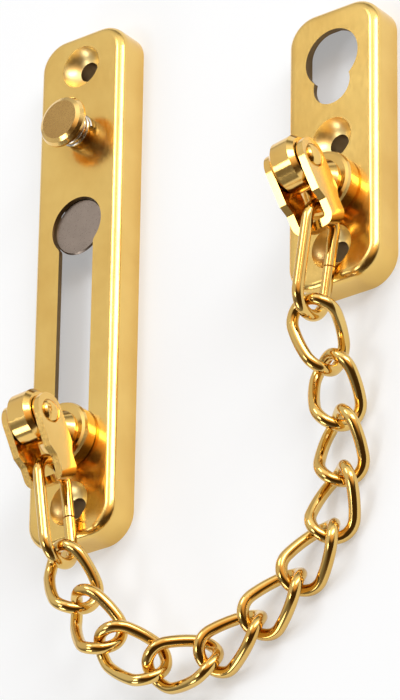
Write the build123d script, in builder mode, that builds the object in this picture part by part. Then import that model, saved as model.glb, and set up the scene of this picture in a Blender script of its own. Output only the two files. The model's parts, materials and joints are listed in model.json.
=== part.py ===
from build123d import *
import math
import os

os.makedirs("parts", exist_ok=True)

# Pressed plates, lying on their backs
plate_width = 21.0
plate_depth = 6.8
plate_sheet = 1.1
plate_corner = 6.0
plate_edge = 1.8
track_length = 111.5
anchor_length = 59.5

# Countersunk screw holes
screw_hole = 4.2
screw_bowl = 9.0
screw_bowl_depth = 2.7
track_screw_span = 96.0
anchor_screw_span = 23.0
anchor_upper_screw_y = 0.7

# Keyhole openings
slot_width = 8.4
entry_diameter = 12.1
entry_y = 12.2
slot_shoulder = 1.6
slider_y = -34.6
anchor_entry_y = 18.6
anchor_neck_y = 12.7

# Clearances
running = 0.05
slack = 0.15

# Studs: a flanged spool and a swivelling eye on it
collar_diameter = 13.2
collar_height = 3.6
collar_round = 0.8
foot_thickness = 1.2
shank_diameter = 3.0
peen_diameter = 5.0
peen_height = 0.7
eye_base_diameter = 9.0
eye_base_rim = 0.4
eye_waist_diameter = 5.6
eye_waist_height = 2.7
drum_diameter = 10.6
drum_width = 5.6
drum_chamfer = 0.9
pin_height = 11.6
anchor_stud_drop = 10.2

# Shackles
strip = 1.5
ear_gap = 6.0
ear_radius = 3.75
ear_length = 6.5
neck_length = 8.6
web_width = 5.1
shackle_length = 12.4
shackle_bend = 2.2
rivet_diameter = 3.0
rivet_head_diameter = 4.8
rivet_head_height = 1.1
slider_lean = 27.0
slider_turn = 4.0
anchor_lean = 28.0
anchor_turn = 9.0

# Lock on the track plate
knob_y = 33.0
knob_diameter = 10.6
knob_head = 2.0
knob_bevel = 1.2
knob_chamfer = 0.3
knob_rise = 4.4
knob_shaft_diameter = 4.5
tenon_diameter = 3.4
spring_wire = 0.7
spring_diameter = 7.3
spring_turns = 3.25
bar_width = 8.0
bar_thickness = 1.0
plug_sink = 0.9
plug_chamfer = 0.25

# Chain
wire = 2.3
wire_sides = 10
link_steps = 12
link_pitch = 11.0
link_play = 0.6
link_width = 8.5
link_twist = 45.0
end_link_width = 8.3
end_link_reach = 16.2
end_link_seam = 0.3

# How the chain lies: heading of each link from -Y towards +X, its roll, and how high its joints stay
headings = (7, 22, 33, 55, 90, 116, 124, 136, 166, 179, 184, 182, 170)
rolls = (-12, 0, 0, 8, 0, 0, 0, 0, 0, 15, 42)
slider_side_heights = (0.96, 0.81, 0.75, 0.28, 0.05)
anchor_side_heights = (0.08, 0.30, 0.95)

# Levels above the mounting face
face_z = plate_depth
wall_back_z = plate_depth - plate_sheet
pin_z = face_z + pin_height
bowl_floor_z = face_z - screw_bowl_depth
bar_top_z = wall_back_z - slack
bar_bottom_z = bar_top_z - bar_thickness

wire_radius = wire / 2
bow_radius = link_width / 2
link_length = link_pitch + wire + link_play
link_straight = link_length - link_width


def pressed_shell(length, centre):
    with BuildPart() as shell:
        with BuildSketch(Plane(origin=centre)):
            RectangleRounded(plate_width, length, plate_corner)
        extrude(amount=plate_depth)
        fillet(shell.faces().sort_by(Axis.Z)[-1].edges(), plate_edge)
        with BuildSketch(Plane(origin=centre)):
            RectangleRounded(plate_width - 2 * plate_sheet, length - 2 * plate_sheet, plate_corner - plate_sheet)
        extrude(amount=wall_back_z, mode=Mode.SUBTRACT)
    return shell.part


# A body of revolution from points given as radius and height along the axis
def turned(outline, origin, direction):
    along = Vector(*direction)
    radial = Vector(0, 0, 1) if abs(along.Z) < 0.5 else Vector(1, 0, 0)
    with BuildPart() as body:
        with BuildSketch(Plane(origin=origin, x_dir=radial, z_dir=radial.cross(along))):
            with BuildLine():
                Polyline(*outline, close=True)
            make_face()
        revolve(axis=Axis(origin, direction))
    return body.part


def screw_collar(x, y):
    sleeve = screw_hole / 2 + plate_sheet
    rim = screw_bowl / 2 + plate_sheet / 3
    mid_wall_z = face_z - plate_sheet / 2
    outline = (
        (0, 0),
        (sleeve, 0),
        (sleeve, bowl_floor_z - plate_sheet / 2),
        (rim, wall_back_z),
        (rim, mid_wall_z),
        (0, mid_wall_z),
    )
    return turned(outline, (x, y, 0), (0, 0, 1))


def screw_cut(x, y):
    hole = screw_hole / 2
    rim = screw_bowl / 2
    belly = (hole + 0.66 * (rim - hole), bowl_floor_z + 0.45 * screw_bowl_depth)
    outline = ((0, 0), (hole, 0), (hole, bowl_floor_z), belly, (rim, face_z), (0, face_z))
    return turned(outline, (x, y, 0), (0, 0, 1))


def spool(x, y, gap, neck_diameter, foot_diameter):
    base = face_z + gap
    top = base + collar_height
    foot_top = wall_back_z - gap
    bore = shank_diameter / 2 + running
    collar = collar_diameter / 2
    outline = (
        (bore, foot_top - foot_thickness),
        (foot_diameter / 2, foot_top - foot_thickness),
        (foot_diameter / 2, foot_top),
        (neck_diameter / 2, foot_top),
        (neck_diameter / 2, base),
        (collar - collar_round / 2, base),
        (collar, base + collar_round / 2),
        (collar, top - collar_round),
        (collar - 0.3 * collar_round, top - 0.3 * collar_round),
        (collar - collar_round, top),
        (bore, top),
    )
    return turned(outline, (x, y, 0), (0, 0, 1))


# Direction of a stud's rivet, turned about the stud
def pin_axis(turn):
    return Vector(1, 0, 0).rotate(Axis.Z, turn)


# Direction from a stud's rivet to the middle of its shackle's web
def shackle_reach(lean, turn):
    level = Vector(0, -1, 0).rotate(Axis.Z, turn)
    return level * math.cos(math.radians(lean)) - Vector(0, 0, 1) * math.sin(math.radians(lean))


def eye(x, y, gap, turn):
    base = face_z + gap + collar_height + running
    foot = wall_back_z - gap - foot_thickness - running
    shank = shank_diameter / 2
    peen = peen_diameter / 2
    outline = (
        (0, foot - peen_height),
        (0.7 * peen, foot - peen_height),
        (peen, foot),
        (shank, foot),
        (shank, base),
        (eye_base_diameter / 2, base),
        (eye_base_diameter / 2, base + eye_base_rim),
        (eye_waist_diameter / 2, base + eye_waist_height),
        (eye_waist_diameter / 2, pin_z),
        (0, pin_z),
    )
    post = turned(outline, (x, y, 0), (0, 0, 1))
    drum_plane = Plane(origin=(x, y, pin_z), x_dir=(0, 0, 1), z_dir=pin_axis(turn))
    with BuildPart() as body:
        with BuildSketch(drum_plane):
            Circle(drum_diameter / 2)
        extrude(amount=drum_width / 2, both=True)
        chamfer(body.edges().filter_by(GeomType.CIRCLE), drum_chamfer)
        add(post)
        with BuildSketch(drum_plane):
            Circle(rivet_diameter / 2 + running)
        extrude(amount=drum_width, both=True, mode=Mode.SUBTRACT)
    return body.part


# The strip is bent to a U, then its sides are cut to ears, shoulders and a narrow web
def shackle(x, y, lean, turn):
    reach = shackle_reach(lean, turn)
    across = Plane(origin=(x, y, pin_z), x_dir=pin_axis(turn), z_dir=pin_axis(turn).cross(reach))
    beside = Plane(origin=(x, y, pin_z), x_dir=reach, z_dir=pin_axis(turn))
    outside = ear_gap / 2 + strip
    end = shackle_length + strip / 2
    half_web = web_width / 2
    with BuildPart() as body:
        with BuildSketch(across):
            with Locations((0, (end - ear_radius) / 2)):
                Rectangle(2 * outside, end + ear_radius)
            fillet(vertices().sort_by(Axis.Y)[-2:], shackle_bend)
            with Locations((0, (end - strip) / 2 - ear_radius)):
                Rectangle(ear_gap, end - strip + 2 * ear_radius, mode=Mode.SUBTRACT)
            inner = vertices().filter_by_position(Axis.Y, end - 1.2 * strip, end - 0.8 * strip)
            fillet(inner.filter_by_position(Axis.X, -0.51 * ear_gap, 0.51 * ear_gap), shackle_bend - strip)
        extrude(amount=2 * ear_radius, both=True)
        with BuildSketch(beside):
            Circle(ear_radius)
            with BuildLine():
                Polyline(
                    (0, ear_radius),
                    (ear_length, ear_radius),
                    (neck_length, half_web),
                    (end, half_web),
                    (end, -half_web),
                    (neck_length, -half_web),
                    (ear_length, -ear_radius),
                    (0, -ear_radius),
                    close=True,
                )
            make_face()
        extrude(amount=outside, both=True, mode=Mode.INTERSECT)
        with BuildSketch(beside):
            Circle(rivet_diameter / 2)
        extrude(amount=outside, both=True, mode=Mode.SUBTRACT)
    return body.part


def rivet(x, y, turn):
    seat = ear_gap / 2 + strip
    tip = seat + rivet_head_height
    head = rivet_head_diameter / 2
    outline = (
        (0, -tip),
        (0.45 * head, -tip + 0.1 * rivet_head_height),
        (0.85 * head, -tip + 0.5 * rivet_head_height),
        (head, -seat),
        (rivet_diameter / 2, -seat),
        (rivet_diameter / 2, seat),
        (head, seat),
        (0.85 * head, tip - 0.5 * rivet_head_height),
        (0.45 * head, tip - 0.1 * rivet_head_height),
        (0, tip),
    )
    return turned(outline, (x, y, pin_z), tuple(pin_axis(turn)))


# Centreline of half a curb link, from the middle of one leg round a bow to the other, twisted along its length
def curb_point(fraction):
    distance = fraction * (link_straight + math.pi * bow_radius)
    angle = (distance - link_straight / 2) / bow_radius
    if angle < 0:
        along, aside = distance, bow_radius
    elif angle < math.pi:
        along = link_straight / 2 + bow_radius * math.sin(angle)
        aside = bow_radius * math.cos(angle)
    else:
        along, aside = link_straight / 2 - bow_radius * (angle - math.pi), -bow_radius
    turn = -math.radians(link_twist) * along / (link_length / 2)
    return Vector(along, aside * math.cos(turn), aside * math.sin(turn))


def curb_section(fraction):
    point = curb_point(fraction)
    tangent = curb_point(fraction + 0.01) - curb_point(fraction - 0.01)
    spine = max(-link_straight / 2, min(link_straight / 2, point.X))
    outward = point - Vector(spine, 0, 0)
    across = outward - tangent * (outward.dot(tangent) / tangent.dot(tangent))
    return Plane(origin=point, x_dir=across, z_dir=tangent)


# One curb link about its own centre, length along X and lying flat
def curb_link():
    with BuildPart() as link:
        for step in range(link_steps + 1):
            with BuildSketch(curb_section(step / link_steps)):
                RegularPolygon(wire_radius, wire_sides)
        loft(ruled=True)
        add(link.part.rotate(Axis.Z, 180))
    return link.part


# A plain oval link round a shackle's web, its seam on the leg nearest the plate
def end_link(web, joint):
    reach = (joint - web).normalized()
    side = Vector(0, 0, 1).cross(reach).normalized()
    lay = Plane(origin=web, x_dir=reach, z_dir=side)
    bow = end_link_width / 2
    far = end_link_reach + (wire + link_play) / 2 - bow
    turns = [math.pi * step / link_steps for step in range(link_steps + 1)]
    far_bow = [(far + bow * math.sin(turn), bow * math.cos(turn)) for turn in turns]
    near_bow = [(-bow * math.sin(turn), -bow * math.cos(turn)) for turn in turns]
    start = ((far + end_link_seam) / 2, bow)
    finish = ((far - end_link_seam) / 2, bow)
    with BuildPart() as link:
        with BuildLine(lay) as path:
            Polyline(start, *far_bow, *near_bow, finish)
        with BuildSketch(Plane(origin=path.line @ 0, x_dir=side, z_dir=path.line % 0)):
            RegularPolygon(wire_radius, wire_sides)
        sweep(transition=Transition.RIGHT)
    return link.part


# Where the chain's joints lie, from the slider's web to the anchor's
rest_z = max(curb_point(step / 48).Z for step in range(49)) + wire_radius
slider_web = Vector(0, slider_y, pin_z) + shackle_reach(slider_lean, slider_turn) * shackle_length
anchor_arm = shackle_reach(anchor_lean, anchor_turn) * shackle_length
anchor_web_z = pin_z + anchor_arm.Z
flat_joints = len(headings) - len(slider_side_heights) - len(anchor_side_heights) - 1
joint_heights = [rest_z + share * (slider_web.Z - rest_z) for share in slider_side_heights]
joint_heights += [rest_z] * flat_joints
joint_heights += [rest_z + share * (anchor_web_z - rest_z) for share in anchor_side_heights]
joint_heights += [anchor_web_z]
lengths = [end_link_reach] + [link_pitch] * (len(headings) - 2) + [end_link_reach]
joints = [slider_web]
for heading, length, height in zip(headings, lengths, joint_heights):
    last = joints[-1]
    level = math.sqrt(length**2 - (height - last.Z) ** 2)
    turn = math.radians(heading)
    joints.append(Vector(last.X + level * math.sin(turn), last.Y - level * math.cos(turn), height))
anchor_web = joints[-1]
anchor_x = anchor_web.X - anchor_arm.X
anchor_stud_y = anchor_web.Y - anchor_arm.Y
anchor_y = anchor_stud_y + anchor_stud_drop

# Track plate
track_shell = pressed_shell(track_length, (0, 0, 0))
track_collars = [screw_collar(0, y) for y in (-track_screw_span / 2, track_screw_span / 2)]
track_cuts = [screw_cut(0, y) for y in (-track_screw_span / 2, track_screw_span / 2)]
with BuildPart() as track_plate:
    add(track_shell)
    add(track_collars)
    add(track_cuts, mode=Mode.SUBTRACT)
    with BuildSketch(Plane.XY.offset(face_z)):
        with Locations((0, entry_y)):
            Circle(entry_diameter / 2)
        with Locations((0, (entry_y + slider_y) / 2)):
            SlotCenterToCenter(entry_y - slider_y, slot_width, rotation=90)
        shoulder_y = entry_y - math.sqrt(entry_diameter**2 - slot_width**2) / 2
        fillet(vertices().filter_by_position(Axis.Y, shoulder_y - 0.01, shoulder_y + 0.01), slot_shoulder)
        with Locations((0, knob_y)):
            Circle(knob_shaft_diameter / 2 + running)
    extrude(amount=-1.5 * plate_sheet, mode=Mode.SUBTRACT)
track_plate.part.label = "track_plate"
export_step(track_plate.part, "parts/track_plate.step")

# Lock knob with its shaft, peened behind the bar
knob_under_z = face_z + knob_rise
knob_top_z = knob_under_z + knob_head
knob_outline = (
    (0, bar_bottom_z - peen_height),
    (0.7 * peen_diameter / 2, bar_bottom_z - peen_height),
    (peen_diameter / 2, bar_bottom_z),
    (tenon_diameter / 2, bar_bottom_z),
    (tenon_diameter / 2, bar_top_z),
    (knob_shaft_diameter / 2, bar_top_z),
    (knob_shaft_diameter / 2, knob_under_z),
    (knob_diameter / 2 - knob_chamfer, knob_under_z),
    (knob_diameter / 2, knob_under_z + knob_chamfer),
    (knob_diameter / 2, knob_top_z - knob_bevel),
    (knob_diameter / 2 - 0.35 * knob_bevel, knob_top_z - 0.35 * knob_bevel),
    (knob_diameter / 2 - knob_bevel, knob_top_z),
    (0, knob_top_z),
)
knob_form = turned(knob_outline, (0, knob_y, 0), (0, 0, 1))
with BuildPart() as lock_knob:
    add(knob_form)
lock_knob.part.label = "lock_knob"
export_step(lock_knob.part, "parts/lock_knob.step")

# Spring between the plate and the knob's head
spring_height = knob_rise - spring_wire - 2 * running
spring_base_z = face_z + spring_wire / 2 + running
with BuildPart() as lock_spring:
    with BuildLine(Plane(origin=(0, knob_y, spring_base_z))) as coil:
        Helix(spring_height / spring_turns, spring_height, (spring_diameter - spring_wire) / 2)
    with BuildSketch(Plane(origin=coil.line @ 0, z_dir=coil.line % 0)):
        RegularPolygon(spring_wire / 2, 6)
    sweep(is_frenet=True)
lock_spring.part.label = "lock_spring"
export_step(lock_spring.part, "parts/lock_spring.step")

# Bar behind the plate that carries knob and plug
with BuildPart() as lock_bar:
    with BuildSketch(Plane.XY.offset(bar_bottom_z)):
        with Locations((0, (knob_y + entry_y) / 2)):
            SlotCenterToCenter(knob_y - entry_y, bar_width, rotation=90)
        with Locations((0, knob_y), (0, entry_y)):
            Circle(tenon_diameter / 2, mode=Mode.SUBTRACT)
    extrude(amount=bar_thickness)
lock_bar.part.label = "lock_bar"
export_step(lock_bar.part, "parts/lock_bar.step")

# Plug that fills the slot's round entry
plug_radius = entry_diameter / 2 - slack
plug_top_z = face_z - plug_sink
plug_outline = (
    (0, bar_bottom_z - peen_height),
    (0.7 * peen_diameter / 2, bar_bottom_z - peen_height),
    (peen_diameter / 2, bar_bottom_z),
    (tenon_diameter / 2, bar_bottom_z),
    (tenon_diameter / 2, bar_top_z),
    (plug_radius, bar_top_z),
    (plug_radius, plug_top_z - plug_chamfer),
    (plug_radius - plug_chamfer, plug_top_z),
    (0, plug_top_z),
)
plug_form = turned(plug_outline, (0, entry_y, 0), (0, 0, 1))
with BuildPart() as lock_plug:
    add(plug_form)
lock_plug.part.label = "lock_plug"
export_step(lock_plug.part, "parts/lock_plug.step")

# Slider stud
slider_spool_form = spool(0, slider_y, slack, slot_width - 2 * slack, entry_diameter - 2 * slack)
with BuildPart() as slider_spool:
    add(slider_spool_form)
slider_spool.part.label = "slider_spool"
export_step(slider_spool.part, "parts/slider_spool.step")

slider_eye_form = eye(0, slider_y, slack, slider_turn)
with BuildPart() as slider_eye:
    add(slider_eye_form)
slider_eye.part.label = "slider_eye"
export_step(slider_eye.part, "parts/slider_eye.step")

slider_shackle_form = shackle(0, slider_y, slider_lean, slider_turn)
with BuildPart() as slider_shackle:
    add(slider_shackle_form)
slider_shackle.part.label = "slider_shackle"
export_step(slider_shackle.part, "parts/slider_shackle.step")

slider_rivet_form = rivet(0, slider_y, slider_turn)
with BuildPart() as slider_rivet:
    add(slider_rivet_form)
slider_rivet.part.label = "slider_rivet"
export_step(slider_rivet.part, "parts/slider_rivet.step")

slider_end_form = end_link(slider_web, joints[1])
with BuildPart() as slider_end_link:
    add(slider_end_form)
slider_end_link.part.label = "slider_end_link"
export_step(slider_end_link.part, "parts/slider_end_link.step")

# Curb chain
link_form = curb_link()
for index, roll in enumerate(rolls):
    start = joints[index + 1]
    finish = joints[index + 2]
    reach = (finish - start).normalized()
    upright = Vector(0, 0, 1) - reach * reach.Z
    upright = upright.rotate(Axis((0, 0, 0), reach), roll)
    lay = Plane(origin=(start + finish) / 2, x_dir=reach, z_dir=upright)
    with BuildPart() as chain_link:
        add(link_form.moved(lay.location))
    link_name = f"chain_link_{index + 1:02d}"
    chain_link.part.label = link_name
    export_step(chain_link.part, f"parts/{link_name}.step")

# Anchor end of the chain
anchor_end_form = end_link(anchor_web, joints[-2])
with BuildPart() as anchor_end_link:
    add(anchor_end_form)
anchor_end_link.part.label = "anchor_end_link"
export_step(anchor_end_link.part, "parts/anchor_end_link.step")

anchor_shackle_form = shackle(anchor_x, anchor_stud_y, anchor_lean, anchor_turn)
with BuildPart() as anchor_shackle:
    add(anchor_shackle_form)
anchor_shackle.part.label = "anchor_shackle"
export_step(anchor_shackle.part, "parts/anchor_shackle.step")

anchor_rivet_form = rivet(anchor_x, anchor_stud_y, anchor_turn)
with BuildPart() as anchor_rivet:
    add(anchor_rivet_form)
anchor_rivet.part.label = "anchor_rivet"
export_step(anchor_rivet.part, "parts/anchor_rivet.step")

anchor_eye_form = eye(anchor_x, anchor_stud_y, 0, anchor_turn)
with BuildPart() as anchor_eye:
    add(anchor_eye_form)
anchor_eye.part.label = "anchor_eye"
export_step(anchor_eye.part, "parts/anchor_eye.step")

anchor_spool_form = spool(anchor_x, anchor_stud_y, 0, slot_width, entry_diameter - 2 * slack)
with BuildPart() as anchor_spool:
    add(anchor_spool_form)
anchor_spool.part.label = "anchor_spool"
export_step(anchor_spool.part, "parts/anchor_spool.step")

# Anchor plate
anchor_centre = (anchor_x, anchor_y, 0)
anchor_screw_ys = (anchor_y + anchor_upper_screw_y, anchor_y + anchor_upper_screw_y - anchor_screw_span)
anchor_shell = pressed_shell(anchor_length, anchor_centre)
anchor_collars = [screw_collar(anchor_x, y) for y in anchor_screw_ys]
anchor_cuts = [screw_cut(anchor_x, y) for y in anchor_screw_ys]
with BuildPart() as anchor_plate:
    add(anchor_shell)
    add(anchor_collars)
    add(anchor_cuts, mode=Mode.SUBTRACT)
    with BuildSketch(Plane(origin=(anchor_x, anchor_y, face_z))):
        with Locations((0, anchor_entry_y)):
            Circle(entry_diameter / 2)
        with Locations((0, anchor_neck_y)):
            Circle(slot_width / 2)
        with Locations((0, -anchor_stud_drop)):
            Circle(slot_width / 2)
    extrude(amount=-1.5 * plate_sheet, mode=Mode.SUBTRACT)
anchor_plate.part.label = "anchor_plate"
export_step(anchor_plate.part, "parts/anchor_plate.step")
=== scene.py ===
import json
import math

import bpy
from mathutils import Matrix, Vector


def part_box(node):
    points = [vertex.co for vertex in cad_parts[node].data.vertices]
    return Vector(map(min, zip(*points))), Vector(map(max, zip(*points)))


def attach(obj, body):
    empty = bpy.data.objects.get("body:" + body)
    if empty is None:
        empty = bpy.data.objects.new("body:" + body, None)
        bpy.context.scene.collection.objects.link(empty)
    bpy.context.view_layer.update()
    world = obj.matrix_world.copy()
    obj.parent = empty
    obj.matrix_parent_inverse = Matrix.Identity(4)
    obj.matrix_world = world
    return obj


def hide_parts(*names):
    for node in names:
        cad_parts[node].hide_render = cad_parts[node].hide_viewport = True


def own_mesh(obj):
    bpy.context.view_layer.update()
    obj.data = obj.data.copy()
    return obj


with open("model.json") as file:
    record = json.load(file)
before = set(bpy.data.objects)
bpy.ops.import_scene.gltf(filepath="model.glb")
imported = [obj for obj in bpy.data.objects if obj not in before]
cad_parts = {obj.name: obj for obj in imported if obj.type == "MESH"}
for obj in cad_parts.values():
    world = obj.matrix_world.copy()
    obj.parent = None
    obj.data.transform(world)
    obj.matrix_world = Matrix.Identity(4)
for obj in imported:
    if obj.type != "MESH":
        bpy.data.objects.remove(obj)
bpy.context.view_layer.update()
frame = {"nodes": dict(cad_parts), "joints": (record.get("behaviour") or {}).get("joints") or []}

# Chain sizes, in metres, as in the part's source
WIRE_RADIUS = 0.00115
LINK_PITCH = 0.0110
LINK_PLAY = 0.0006
LINK_WIDTH = 0.0085
LINK_TWIST = math.radians(45)
LINK_LENGTH = LINK_PITCH + 2 * WIRE_RADIUS + LINK_PLAY
LINK_ROLLS = (-12, 0, 0, 8, 0, 0, 0, 0, 0, 15, 42)
END_LINK_WIDTH = 0.0083
END_LINK_REACH = 0.0162
END_LINK_SEAM = 0.0003

# Lock spring sizes, in metres, as in the part's source
KNOB_Y = 0.0330
SPRING_RADIUS = 0.0033
SPRING_WIRE_RADIUS = 0.00035
SPRING_TURNS = 3.25
SPRING_BASE = 0.0072
SPRING_HEIGHT = 0.0036

# Plate sizes, in metres, as in the part's source
PLATE_CORNER = 0.0060
PLATE_SHEET = 0.0011
PLATE_EDGE = 0.0018

# Countersinks, in metres: where the middle of each plate's two screws lies along the plate, and their span
SCREW_PAIRS = {"track_plate": (0.0, 0.096), "anchor_plate": (-0.0108, 0.023)}

# Height of the centre of a countersink's round dish above the plate's face, in metres
DISH_CENTRE = 0.0016

# Fineness of the round wires
LOOP_STEPS = 96
SPRING_STEPS = 80
WIRE_ROUNDNESS = 6
WELD_DISTANCE = 0.000001

# Cloudy tint and fine grain of the metals: noise scales and detail, the noise in use, the grain's depth
CLOUD_SCALE = 90
GRAIN_SCALE = 2600
NOISE_DETAIL = 3.0
NOISE_RANGE = (0.3, 0.7)
GRAIN_DEPTH = 0.00004

# Upward part of the normal: below the first a surface is a wall, above the second it is flat
WALL_FACING = 0.2
FLAT_FACING = 0.95

# Number of a mix node's first input, and of its output, for each kind of value
MIX_SOCKETS = {"FLOAT": (2, 0), "VECTOR": (4, 1), "RGBA": (6, 2)}

# Camera, solved from the plates' edges in the photograph
IMAGE_HEIGHT = 700
FOCAL_PIXELS = 4884.3
SENSOR = 36.0
CAMERA_AT = Vector((0.5295, -0.4432, 0.6592))
CAMERA_RIGHT = Vector((0.79866, 0.01371, -0.60162))
CAMERA_DOWN = Vector((-0.26364, -0.89072, -0.37028))
CAMERA_FORWARD = Vector((-0.54096, 0.45434, -0.70777))

# Floor: half its side in metres, its paint and its own glow
FLOOR_REACH = 3
FLOOR_COLOUR = (0.555, 0.59, 0.63, 1)
FLOOR_ROUGHNESS = 0.8
FLOOR_GLOW = 0.36

# Strengths and tints of the room's own light
ROOM_LIGHT = 0.25
DARK_LIGHT = 0.06
WALL_LIGHT = 0.53
WINDOW_LIGHT = 1.00
PALE_TINT = (1.0, 0.98, 0.95, 1)
DARK_TINT = (1.0, 0.60, 0.25, 1)

# Softboxes: the point they face, and how far off they stand, in metres
LAMP_TARGET = Vector((0.03, -0.02, 0))
LAMP_DISTANCE = 1.4


def new_material(name):
    material = bpy.data.materials.new(name)
    material.use_nodes = True
    return material


def shader_of(material):
    return material.node_tree.nodes["Principled BSDF"]


# Links a socket to another node's output, or sets it to a constant
def feed(tree, socket, value):
    if isinstance(value, bpy.types.NodeSocket):
        tree.links.new(value, socket)
    else:
        socket.default_value = value


def coordinates(tree, kind):
    return tree.nodes.new("ShaderNodeTexCoord").outputs[kind]


def calculated(tree, operation, first, second=0.0):
    node = tree.nodes.new("ShaderNodeMath")
    node.operation = operation
    feed(tree, node.inputs[0], first)
    feed(tree, node.inputs[1], second)
    return node.outputs["Value"]


def vector_step(tree, operation, first, second=(0, 0, 0)):
    node = tree.nodes.new("ShaderNodeVectorMath")
    node.operation = operation
    feed(tree, node.inputs[0], first)
    feed(tree, node.inputs[1], second)
    return node.outputs["Value" if operation in ("LENGTH", "DOT_PRODUCT") else "Vector"]


def separated(tree, vector):
    parts = tree.nodes.new("ShaderNodeSeparateXYZ")
    feed(tree, parts.inputs["Vector"], vector)
    return parts.outputs["X"], parts.outputs["Y"], parts.outputs["Z"]


def map_range(tree, value, source, target, interpolation="LINEAR"):
    node = tree.nodes.new("ShaderNodeMapRange")
    node.interpolation_type = interpolation
    for name, number in zip(("From Min", "From Max", "To Min", "To Max"), (*source, *target)):
        node.inputs[name].default_value = number
    feed(tree, node.inputs["Value"], value)
    return node.outputs["Result"]


# The second value where the mask is 1
def mixed(tree, kind, mask, first, second):
    mix = tree.nodes.new("ShaderNodeMix")
    mix.data_type = kind
    socket, output = MIX_SOCKETS[kind]
    feed(tree, mix.inputs["Factor"], mask)
    feed(tree, mix.inputs[socket], first)
    feed(tree, mix.inputs[socket + 1], second)
    return mix.outputs[output]


def noise(tree, scale, stretch=(1, 1, 1)):
    place = tree.nodes.new("ShaderNodeMapping")
    place.inputs["Scale"].default_value = stretch
    texture = tree.nodes.new("ShaderNodeTexNoise")
    texture.inputs["Scale"].default_value = scale
    texture.inputs["Detail"].default_value = NOISE_DETAIL
    feed(tree, place.inputs["Vector"], coordinates(tree, "Object"))
    feed(tree, texture.inputs["Vector"], place.outputs["Vector"])
    return texture.outputs["Fac"]


def tinted(tree, value, dark, light):
    ramp = tree.nodes.new("ShaderNodeValToRGB")
    for stop, position, colour in zip(ramp.color_ramp.elements, NOISE_RANGE, (dark, light)):
        stop.position = position
        stop.color = (*colour, 1)
    feed(tree, ramp.inputs["Fac"], value)
    return ramp.outputs["Color"]


def bumped(tree, value, strength):
    bump = tree.nodes.new("ShaderNodeBump")
    bump.inputs["Strength"].default_value = strength
    bump.inputs["Distance"].default_value = GRAIN_DEPTH
    feed(tree, bump.inputs["Height"], value)
    return bump.outputs["Normal"]


# How far a surface faces up, in the piece's own axes
def facing_up(tree):
    return separated(tree, coordinates(tree, "Normal"))[2]


# Distance out from the plate's middle, which is PLATE_CORNER all along its outer wall
def plate_reach(tree, node):
    low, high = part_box(node)
    middle = (Vector(low) + Vector(high)) / 2
    straight = (Vector(high) - Vector(low)) / 2 - Vector((PLATE_CORNER, PLATE_CORNER, 0))
    place = vector_step(tree, "SUBTRACT", coordinates(tree, "Object"), middle)
    place = vector_step(tree, "ABSOLUTE", place)
    place = vector_step(tree, "SUBTRACT", place, straight)
    place = vector_step(tree, "MAXIMUM", place, (0, 0, 0))
    place = vector_step(tree, "MULTIPLY", place, (1, 1, 0))
    return vector_step(tree, "LENGTH", place)


# 1 on the inner walls, sleeves and cut edges of a pressed plate, where the painted shade goes, 0 on its
# outside
def plate_inside(tree, node):
    within = calculated(tree, "LESS_THAN", plate_reach(tree, node), PLATE_CORNER - PLATE_SHEET / 2)
    wall = calculated(tree, "LESS_THAN", facing_up(tree), WALL_FACING)
    return calculated(tree, "MULTIPLY", within, wall)


# 1 on the slopes of the countersinks, 0 on the flat face and on the plate's rounded edge
def plate_bowls(tree, node):
    within = calculated(tree, "LESS_THAN", plate_reach(tree, node), PLATE_CORNER - PLATE_EDGE)
    steep = calculated(tree, "LESS_THAN", facing_up(tree), FLAT_FACING)
    open_up = calculated(tree, "GREATER_THAN", facing_up(tree), WALL_FACING)
    slope = calculated(tree, "MULTIPLY", steep, open_up)
    return calculated(tree, "MULTIPLY", within, slope)


# Direction from a countersink's surface to the centre of its dish, so that its two cones shade as one round
def dish_normal(tree, node):
    low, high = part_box(node)
    shift, span = SCREW_PAIRS[node]
    centre = Vector(((low[0] + high[0]) / 2, (low[1] + high[1]) / 2 + shift, high[2] + DISH_CENTRE))
    x, y, z = separated(tree, vector_step(tree, "SUBTRACT", centre, coordinates(tree, "Object")))
    nearest = calculated(tree, "MULTIPLY", calculated(tree, "SIGN", y), span / 2)
    inward = tree.nodes.new("ShaderNodeCombineXYZ")
    feed(tree, inward.inputs["X"], x)
    feed(tree, inward.inputs["Y"], calculated(tree, "SUBTRACT", y, nearest))
    feed(tree, inward.inputs["Z"], z)
    turned = tree.nodes.new("ShaderNodeVectorTransform")
    turned.vector_type = "NORMAL"
    turned.convert_from = "OBJECT"
    turned.convert_to = "WORLD"
    feed(tree, turned.inputs["Vector"], inward.outputs["Vector"])
    return vector_step(tree, "NORMALIZE", turned.outputs["Vector"])


# Plated metal: cloudy tint, uneven gloss, a fine grain, and patches of other colour and gloss where the
# patches' masks are 1, which the plates and knob use for painted shade, painted light and a painted
# reflection
def metal(material, dark, light, gloss, grain, stretch=(1, 1, 1), patches=()):
    tree = material.node_tree
    shader = shader_of(material)
    cloud = noise(tree, CLOUD_SCALE)
    fine = noise(tree, GRAIN_SCALE, stretch)
    colour = tinted(tree, cloud, dark, light)
    shine = map_range(tree, fine, NOISE_RANGE, gloss)
    for mask, patch_dark, patch_light, patch_gloss in patches:
        patch_colour = tinted(tree, cloud, patch_dark, patch_light)
        patch_shine = map_range(tree, fine, NOISE_RANGE, patch_gloss)
        colour = mixed(tree, "RGBA", mask, colour, patch_colour)
        shine = mixed(tree, "FLOAT", mask, shine, patch_shine)
    shader.inputs["Metallic"].default_value = 1.0
    feed(tree, shader.inputs["Base Color"], colour)
    feed(tree, shader.inputs["Roughness"], shine)
    feed(tree, shader.inputs["Normal"], bumped(tree, fine, grain))
    return material
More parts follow.
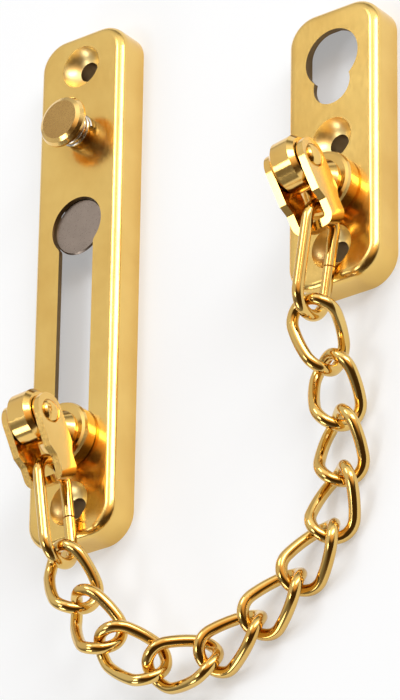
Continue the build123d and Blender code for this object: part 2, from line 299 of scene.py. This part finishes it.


# Brushed outside; satin in the countersinks and painted paler there as painted light; painted shade inside,
# dull dark brown on the inner walls, sleeves and cut edges
def pressed_brass(name, node):
    material = new_material(name)
    tree = material.node_tree
    bowls = plate_bowls(tree, node)
    # Painted shade: the inner walls, sleeves and cut edges are painted dull dark brown
    painted_shade_inside = (plate_inside(tree, node), (0.20, 0.13, 0.06), (0.30, 0.20, 0.09), (0.40, 0.55))
    # Painted light: the countersinks' slopes are painted paler gold than the plate, besides their satin
    # gloss
    satin_bowls_painted_light = (bowls, (0.95, 0.71, 0.29), (1.0, 0.80, 0.38), (0.32, 0.42))
    metal(
        material,
        dark=(0.79, 0.505, 0.14),
        light=(0.87, 0.595, 0.185),
        gloss=(0.17, 0.26),
        grain=0.10,
        stretch=(1, 0.25, 1),
        patches=(painted_shade_inside, satin_bowls_painted_light),
    )
    normal = shader_of(material).inputs["Normal"]
    flat_normal = normal.links[0].from_socket
    feed(tree, normal, mixed(tree, "VECTOR", bowls, flat_normal, dish_normal(tree, node)))
    return material


# Polished, with a duller flat top painted dark brown as a painted reflection of the room's dark side
def button_brass(name):
    material = new_material(name)
    tree = material.node_tree
    top = calculated(tree, "GREATER_THAN", facing_up(tree), FLAT_FACING)
    # Painted reflection: the flat top is painted dark brown, as if mirroring the dark side of the room
    painted_dark_reflection_top = (top, (0.40, 0.23, 0.075), (0.49, 0.30, 0.10), (0.22, 0.34))
    return metal(material, (0.84, 0.54, 0.17), (0.92, 0.63, 0.23), (0.12, 0.20), 0.05, patches=(painted_dark_reflection_top,))


def plain_metal(name, dark, light, gloss, grain):
    return metal(new_material(name), dark, light, gloss, grain)


track_brass = pressed_brass("track_brass", "track_plate")
anchor_brass = pressed_brass("anchor_brass", "anchor_plate")
turned_brass = plain_metal("turned_brass", (0.80, 0.49, 0.13), (0.88, 0.59, 0.19), (0.11, 0.18), 0.03)
chain_brass = plain_metal("chain_brass", (0.71, 0.44, 0.12), (0.79, 0.545, 0.175), (0.06, 0.13), 0.03)
knob_brass = button_brass("knob_brass")
plug_brass = plain_metal("plug_brass", (0.22, 0.18, 0.15), (0.31, 0.25, 0.21), (0.25, 0.38), 0.08)
plain_steel = plain_metal("plain_steel", (0.62, 0.60, 0.56), (0.75, 0.73, 0.68), (0.15, 0.28), 0.05)

NODE_METALS = {
    "track_plate": track_brass,
    "anchor_plate": anchor_brass,
    "lock_knob": knob_brass,
    "lock_plug": plug_brass,
    "lock_bar": plain_steel,
    "lock_spring": plain_steel,
}
for name, node in frame["nodes"].items():
    node.data.materials.clear()
    node.data.materials.append(NODE_METALS.get(name, turned_brass))

# The rivets' stepped heads shade as smooth domes
for name in ("slider_rivet", "anchor_rivet"):
    rivet = frame["nodes"][name]
    weld = rivet.modifiers.new("weld", "WELD")
    weld.merge_threshold = WELD_DISTANCE
    soften = rivet.modifiers.new("soften", "WEIGHTED_NORMAL")
    soften.keep_sharp = False


# A closed or open round wire through points, as a mesh piece that stands for a CAD node
def wire_piece(name, points, closed, node, body, radius, finish):
    curve = bpy.data.curves.new(name, "CURVE")
    curve.dimensions = "3D"
    curve.bevel_depth = radius
    curve.bevel_resolution = WIRE_ROUNDNESS
    curve.use_fill_caps = True
    spline = curve.splines.new("POLY")
    spline.points.add(len(points) - 1)
    for target, point in zip(spline.points, points):
        target.co = (*point, 1)
    spline.use_cyclic_u = closed
    holder = bpy.data.objects.new(name + "_path", curve)
    bpy.context.scene.collection.objects.link(holder)
    bpy.context.view_layer.update()
    mesh = bpy.data.meshes.new_from_object(holder.evaluated_get(bpy.context.evaluated_depsgraph_get()))
    bpy.data.objects.remove(holder)
    mesh.materials.clear()
    mesh.materials.append(finish)
    mesh.polygons.foreach_set("use_smooth", [True] * len(mesh.polygons))
    piece = bpy.data.objects.new(name, mesh)
    bpy.context.scene.collection.objects.link(piece)
    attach(piece, body)
    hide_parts(node)
    return piece


# A point on an oval with straight legs, at a distance along it from the start of one leg
def stadium_point(distance, length, width):
    radius = width / 2
    straight = length - width
    arc = math.pi * radius
    distance = distance % (2 * straight + 2 * arc)
    if distance < straight:
        return distance - straight / 2, radius
    if distance < straight + arc:
        turn = (distance - straight) / radius
        return straight / 2 + radius * math.sin(turn), radius * math.cos(turn)
    if distance < 2 * straight + arc:
        return straight / 2 - (distance - straight - arc), -radius
    turn = (distance - 2 * straight - arc) / radius
    return -straight / 2 - radius * math.sin(turn), -radius * math.cos(turn)


# The whole way round such an oval
def stadium_round(length, width):
    return 2 * (length - width) + math.pi * width


# The places where the links hang in each other, from the frame's own joints. The sixth link is the root
joint_at = {joint["name"]: Vector(joint["pos_m"]) for joint in frame["joints"] if "pos_m" in joint}
bends = ["bend_slider_end_link"]
bends += [f"bend_chain_link_{index:02d}" for index in (1, 2, 3, 4, 5, 7, 8, 9, 10, 11)]
bends += ["bend_anchor_end_link"]

# Twisted curb links
link_round = stadium_round(LINK_LENGTH, LINK_WIDTH)
for index, roll in enumerate(LINK_ROLLS):
    start = joint_at[bends[index]]
    finish = joint_at[bends[index + 1]]
    middle = (start + finish) / 2
    along = (finish - start).normalized()
    upright = (Vector((0, 0, 1)) - along * along.z).normalized()
    upright = Matrix.Rotation(math.radians(roll), 3, along) @ upright
    aside = upright.cross(along)
    points = []
    for step in range(LOOP_STEPS):
        u, w = stadium_point(step / LOOP_STEPS * link_round, LINK_LENGTH, LINK_WIDTH)
        turn = -LINK_TWIST * u / (LINK_LENGTH / 2)
        point = middle + along * u
        point += aside * w * math.cos(turn)
        point += upright * w * math.sin(turn)
        points.append(point)
    link = f"chain_link_{index + 1:02d}"
    name = f"curb_link_{index + 1:02d}"
    wire_piece(name, points, True, link, link, WIRE_RADIUS, chain_brass)

# Plain oval links at both ends, seam on the leg next to the plate
for end, swing, bend in (
    ("slider_end_link", "slider_shackle_swing", bends[0]),
    ("anchor_end_link", "anchor_shackle_swing", bends[-1]),
):
    web = joint_at[swing]
    along = (joint_at[bend] - web).normalized()
    upright = (Vector((0, 0, 1)) - along * along.z).normalized()
    far = END_LINK_REACH + WIRE_RADIUS + LINK_PLAY / 2
    length = far + END_LINK_WIDTH / 2
    middle = web + along * (far - END_LINK_WIDTH / 2) / 2
    total = stadium_round(length, END_LINK_WIDTH)
    half_leg = (length - END_LINK_WIDTH) / 2
    points = []
    for step in range(LOOP_STEPS + 1):
        run = half_leg + END_LINK_SEAM / 2 + step / LOOP_STEPS * (total - END_LINK_SEAM)
        u, w = stadium_point(run, length, END_LINK_WIDTH)
        points.append(middle + along * u - upright * w)
    wire_piece("oval_" + end, points, False, end, end, WIRE_RADIUS, chain_brass)

# Coil spring under the knob, drawn at one fixed length
points = []
for step in range(SPRING_STEPS + 1):
    share = step / SPRING_STEPS
    turn = 2 * math.pi * SPRING_TURNS * share
    aside = SPRING_RADIUS * math.cos(turn)
    ahead = KNOB_Y + SPRING_RADIUS * math.sin(turn)
    points.append(Vector((aside, ahead, SPRING_BASE + SPRING_HEIGHT * share)))
spring = wire_piece(
    "coil_spring",
    points,
    False,
    "lock_spring",
    "track_plate",
    SPRING_WIRE_RADIUS,
    plain_steel,
)
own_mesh(spring)

# Floor
corners = [(-FLOOR_REACH, -FLOOR_REACH, 0), (FLOOR_REACH, -FLOOR_REACH, 0)]
corners += [(FLOOR_REACH, FLOOR_REACH, 0), (-FLOOR_REACH, FLOOR_REACH, 0)]
floor_mesh = bpy.data.meshes.new("floor")
floor_mesh.from_pydata(corners, [], [(0, 1, 2, 3)])
floor = bpy.data.objects.new("floor", floor_mesh)
bpy.context.scene.collection.objects.link(floor)
floor_paint = new_material("floor_paint")
shader = shader_of(floor_paint)
shader.inputs["Base Color"].default_value = FLOOR_COLOUR
shader.inputs["Roughness"].default_value = FLOOR_ROUGHNESS
shader.inputs["Emission Color"].default_value = (1, 1, 1, 1)
shader.inputs["Emission Strength"].default_value = FLOOR_GLOW
floor_mesh.materials.append(floor_paint)


# Strength that rises smoothly as a direction nears the given one, between two cosines of the angle to it
def glow(tree, direction, start, full, strength):
    toward = vector_step(tree, "DOT_PRODUCT", coordinates(tree, "Generated"), Vector(direction).normalized())
    return map_range(tree, toward, (start, full), (0, strength), "SMOOTHSTEP")


# Studio: a grey room with a pale wall, a bright window, and a dark and warm side where the camera stands
world = bpy.data.worlds.new("studio")
bpy.context.scene.world = world
world.use_nodes = True
room = world.node_tree
wall = glow(room, (-0.54, 0.45, 0.71), 0.55, 0.90, WALL_LIGHT)
window = glow(room, (0.60, 0.45, 0.66), 0.65, 0.92, WINDOW_LIGHT)
dark_share = glow(room, -CAMERA_FORWARD, 0.50, 0.88, 1.0)
darkness = calculated(room, "MULTIPLY", dark_share, ROOM_LIGHT - DARK_LIGHT)
grey = calculated(room, "SUBTRACT", ROOM_LIGHT, darkness)
bright = calculated(room, "ADD", wall, window)
background = room.nodes["Background"]
feed(room, background.inputs["Color"], mixed(room, "RGBA", dark_share, PALE_TINT, DARK_TINT))
feed(room, background.inputs["Strength"], calculated(room, "ADD", grey, bright))


def softbox(name, direction, size, power):
    light = bpy.data.lights.new(name, "AREA")
    light.shape = "RECTANGLE"
    light.size = size[0]
    light.size_y = size[1]
    light.energy = power
    lamp = bpy.data.objects.new(name, light)
    bpy.context.scene.collection.objects.link(lamp)
    lamp.location = LAMP_TARGET + Vector(direction).normalized() * LAMP_DISTANCE
    lamp.rotation_euler = Vector(direction).to_track_quat("Z", "Y").to_euler()


softbox("rim_light", (0.71, 0.45, 0.54), (0.45, 1.0), 8)
softbox("front_light", (-0.54, -0.75, 0.38), (0.55, 0.42), 3)
softbox("key_light", (-0.20, 0.46, 0.86), (0.35, 0.5), 3.3)
softbox("top_light", (-0.35, -0.30, 0.89), (0.37, 0.37), 2.2)

# Camera
camera_data = bpy.data.cameras.new("camera")
camera_data.sensor_width = SENSOR
camera_data.lens = FOCAL_PIXELS * SENSOR / IMAGE_HEIGHT
camera = bpy.data.objects.new("camera", camera_data)
bpy.context.scene.collection.objects.link(camera)
axes = Matrix((CAMERA_RIGHT, -CAMERA_DOWN, -CAMERA_FORWARD)).transposed()
camera.matrix_world = Matrix.Translation(CAMERA_AT) @ axes.to_4x4()
bpy.context.scene.camera = camera
bpy.context.scene.view_settings.view_transform = "Standard"
